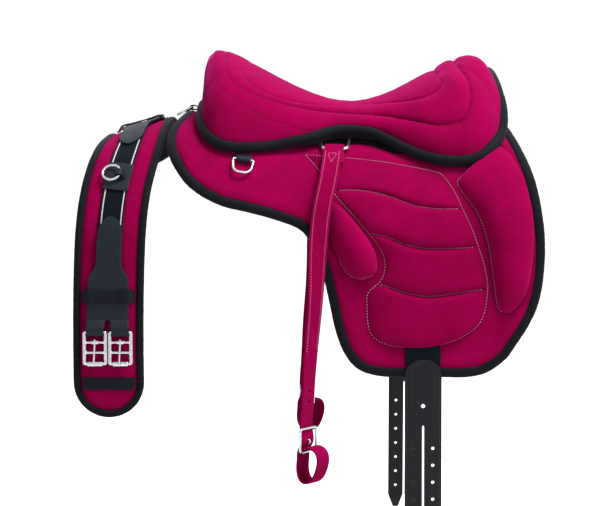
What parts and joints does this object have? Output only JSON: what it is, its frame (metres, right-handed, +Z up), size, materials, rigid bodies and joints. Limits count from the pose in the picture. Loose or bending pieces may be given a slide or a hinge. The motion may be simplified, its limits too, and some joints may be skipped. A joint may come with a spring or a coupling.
{
  "type": "treeless saddle",
  "caption": "Treeless riding saddle with padded suede seat and flaps, hanging stirrup leathers, split billets and a padded girth laid in front of the pommel.",
  "frame": {"origin": "on the centre line, on the underside of the pad below the dip of the seat", "axes": "+X towards the cantle, +Y towards the off (right) side, +Z up"},
  "size_m": [0.6904, 0.5146, 0.7786],
  "materials": {
    "suede": "magenta suede, napped, matt with a soft sheen",
    "lining": "black felted lining",
    "binding": "black woven binding, soft satin",
    "leather": "dark slate leather, satin",
    "webbing": "black ribbed webbing",
    "foam": "firm closed-cell foam",
    "steel": "polished stainless steel"
  },
  "bodies": {
    "saddle": {"seat_cover": "suede", "seat_foam": "foam", "seat_binding": "binding", "seat_base": "leather", "cantle_gusset": "leather", "stirrup_carrier_web": "webbing", "pommel_dee_strap": "leather", "near_flap": "suede", "near_flap_binding": "binding", "near_panel": "lining", "near_fender": "suede", "near_knee_roll": "suede", "near_thigh_block": "suede", "near_front_dee_keeper": "leather", "near_stirrup_dee": "steel", "off_flap": "suede", "off_flap_binding": "binding", "off_panel": "lining", "off_fender": "suede", "off_knee_roll": "suede", "off_thigh_block": "suede", "off_front_dee_keeper": "leather", "off_stirrup_dee": "steel"},
    "near_stirrup_strap": {"near_stirrup_leather": "suede", "near_stirrup_buckle": "steel", "near_stirrup_prong": "steel"},
    "near_billet_strap": {"near_billet_web": "webbing", "near_billet": "leather"},
    "near_front_ring": {"near_front_dee_ring": "steel"},
    "off_stirrup_strap": {"off_stirrup_leather": "suede", "off_stirrup_buckle": "steel", "off_stirrup_prong": "steel"},
    "off_billet_strap": {"off_billet_web": "webbing", "off_billet": "leather"},
    "off_front_ring": {"off_front_dee_ring": "steel"},
    "pommel_ring": {"pommel_dee_ring": "steel"},
    "girth": {"girth_pad": "suede", "girth_binding": "binding", "girth_web": "webbing", "girth_dee_patch": "leather", "girth_dee_keeper": "leather", "girth_near_leather": "leather", "girth_near_keeper_1": "binding", "girth_near_keeper_2": "binding", "girth_near_front_buckle_frame": "steel", "girth_near_rear_buckle_frame": "steel", "girth_far_leather": "leather", "girth_far_keeper_1": "binding", "girth_far_keeper_2": "binding", "girth_far_front_buckle_frame": "steel", "girth_far_rear_buckle_frame": "steel"},
    "girth_ring": {"girth_dee_ring": "steel"},
    "girth_near_front_prong": {"girth_near_front_buckle_prong": "steel"},
    "girth_near_front_roller": {"girth_near_front_buckle_roller": "steel"},
    "girth_near_rear_prong": {"girth_near_rear_buckle_prong": "steel"},
    "girth_near_rear_roller": {"girth_near_rear_buckle_roller": "steel"},
    "girth_far_front_prong": {"girth_far_front_buckle_prong": "steel"},
    "girth_far_front_roller": {"girth_far_front_buckle_roller": "steel"},
    "girth_far_rear_prong": {"girth_far_rear_buckle_prong": "steel"},
    "girth_far_rear_roller": {"girth_far_rear_buckle_roller": "steel"}
  },
  "joints": [
    {"name": "near_stirrup_swing", "type": "hinge", "parent": "saddle", "child": "near_stirrup_strap", "pos_m": [-0.047, -0.14532, -0.02657], "axis": [-0.9994, 0, 0.0334], "range_deg": [0, 60]},
    {"name": "near_billet_swing", "type": "hinge", "parent": "saddle", "child": "near_billet_strap", "pos_m": [0.0815, -0.21715, -0.32259], "axis": [-1, 0, 0], "range_deg": [0, 70]},
    {"name": "near_front_ring_swing", "type": "hinge", "parent": "saddle", "child": "near_front_ring", "pos_m": [-0.1825, -0.17547, -0.04282], "axis": [-0.9869, 0, 0.1611], "range_deg": [0, 75]},
    {"name": "off_stirrup_swing", "type": "hinge", "parent": "saddle", "child": "off_stirrup_strap", "pos_m": [-0.047, 0.14532, -0.02657], "axis": [0.9994, 0, -0.0334], "range_deg": [0, 60]},
    {"name": "off_billet_swing", "type": "hinge", "parent": "saddle", "child": "off_billet_strap", "pos_m": [0.0815, 0.21715, -0.32259], "axis": [1, 0, 0], "range_deg": [0, 70]},
    {"name": "off_front_ring_swing", "type": "hinge", "parent": "saddle", "child": "off_front_ring", "pos_m": [-0.1825, 0.17547, -0.04282], "axis": [0.9869, 0, -0.1611], "range_deg": [0, 75]},
    {"name": "pommel_ring_swing", "type": "hinge", "parent": "saddle", "child": "pommel_ring", "pos_m": [-0.269, -0.00003, 0.03617], "axis": [0, 1, 0], "range_deg": [0, 90]},
    {"name": "girth_lift", "type": "slide", "parent": "saddle", "child": "girth", "axis": [-0.8, 0, 0.6], "range_m": [0, 0.12]},
    {"name": "girth_ring_swing", "type": "hinge", "parent": "girth", "child": "girth_ring", "pos_m": [-0.36517, -0.18093, -0.06275], "axis": [0.1572, 0.583, 0.7971], "range_deg": [0, 80]},
    {"name": "girth_near_front_prong_lift", "type": "hinge", "parent": "girth", "child": "girth_near_front_prong", "pos_m": [-0.39938, -0.21995, -0.30996], "axis": [-1, -0.0002, -0.0052], "range_deg": [0, 90]},
    {"name": "girth_near_front_roller_spin", "type": "hinge", "parent": "girth", "child": "girth_near_front_roller", "pos_m": [-0.39921, -0.22133, -0.34161], "axis": [1, 0.0002, 0.0052], "continuous": true},
    {"name": "girth_near_rear_prong_lift", "type": "hinge", "parent": "girth", "child": "girth_near_rear_prong", "pos_m": [-0.36218, -0.21995, -0.30996], "axis": [-1, -0.0002, -0.0052], "range_deg": [0, 90]},
    {"name": "girth_near_rear_roller_spin", "type": "hinge", "parent": "girth", "child": "girth_near_rear_roller", "pos_m": [-0.36201, -0.22133, -0.34161], "axis": [1, 0.0002, 0.0052], "continuous": true},
    {"name": "girth_far_front_prong_lift", "type": "hinge", "parent": "girth", "child": "girth_far_front_prong", "pos_m": [-0.36561, 0.06044, 0.00246], "axis": [0.9636, 0.067, 0.2587], "range_deg": [0, 90]},
    {"name": "girth_far_front_roller_spin", "type": "hinge", "parent": "girth", "child": "girth_far_front_roller", "pos_m": [-0.36567, 0.09118, -0.00526], "axis": [0.9636, 0.067, 0.2587], "continuous": true},
    {"name": "girth_far_rear_prong_lift", "type": "hinge", "parent": "girth", "child": "girth_far_rear_prong", "pos_m": [-0.32841, 0.06044, 0.01309], "axis": [0.9636, 0.0671, 0.2587], "range_deg": [0, 90]},
    {"name": "girth_far_rear_roller_spin", "type": "hinge", "parent": "girth", "child": "girth_far_rear_roller", "pos_m": [-0.32847, 0.09118, 0.00537], "axis": [0.9636, 0.0671, 0.2587], "continuous": true}
  ]
}
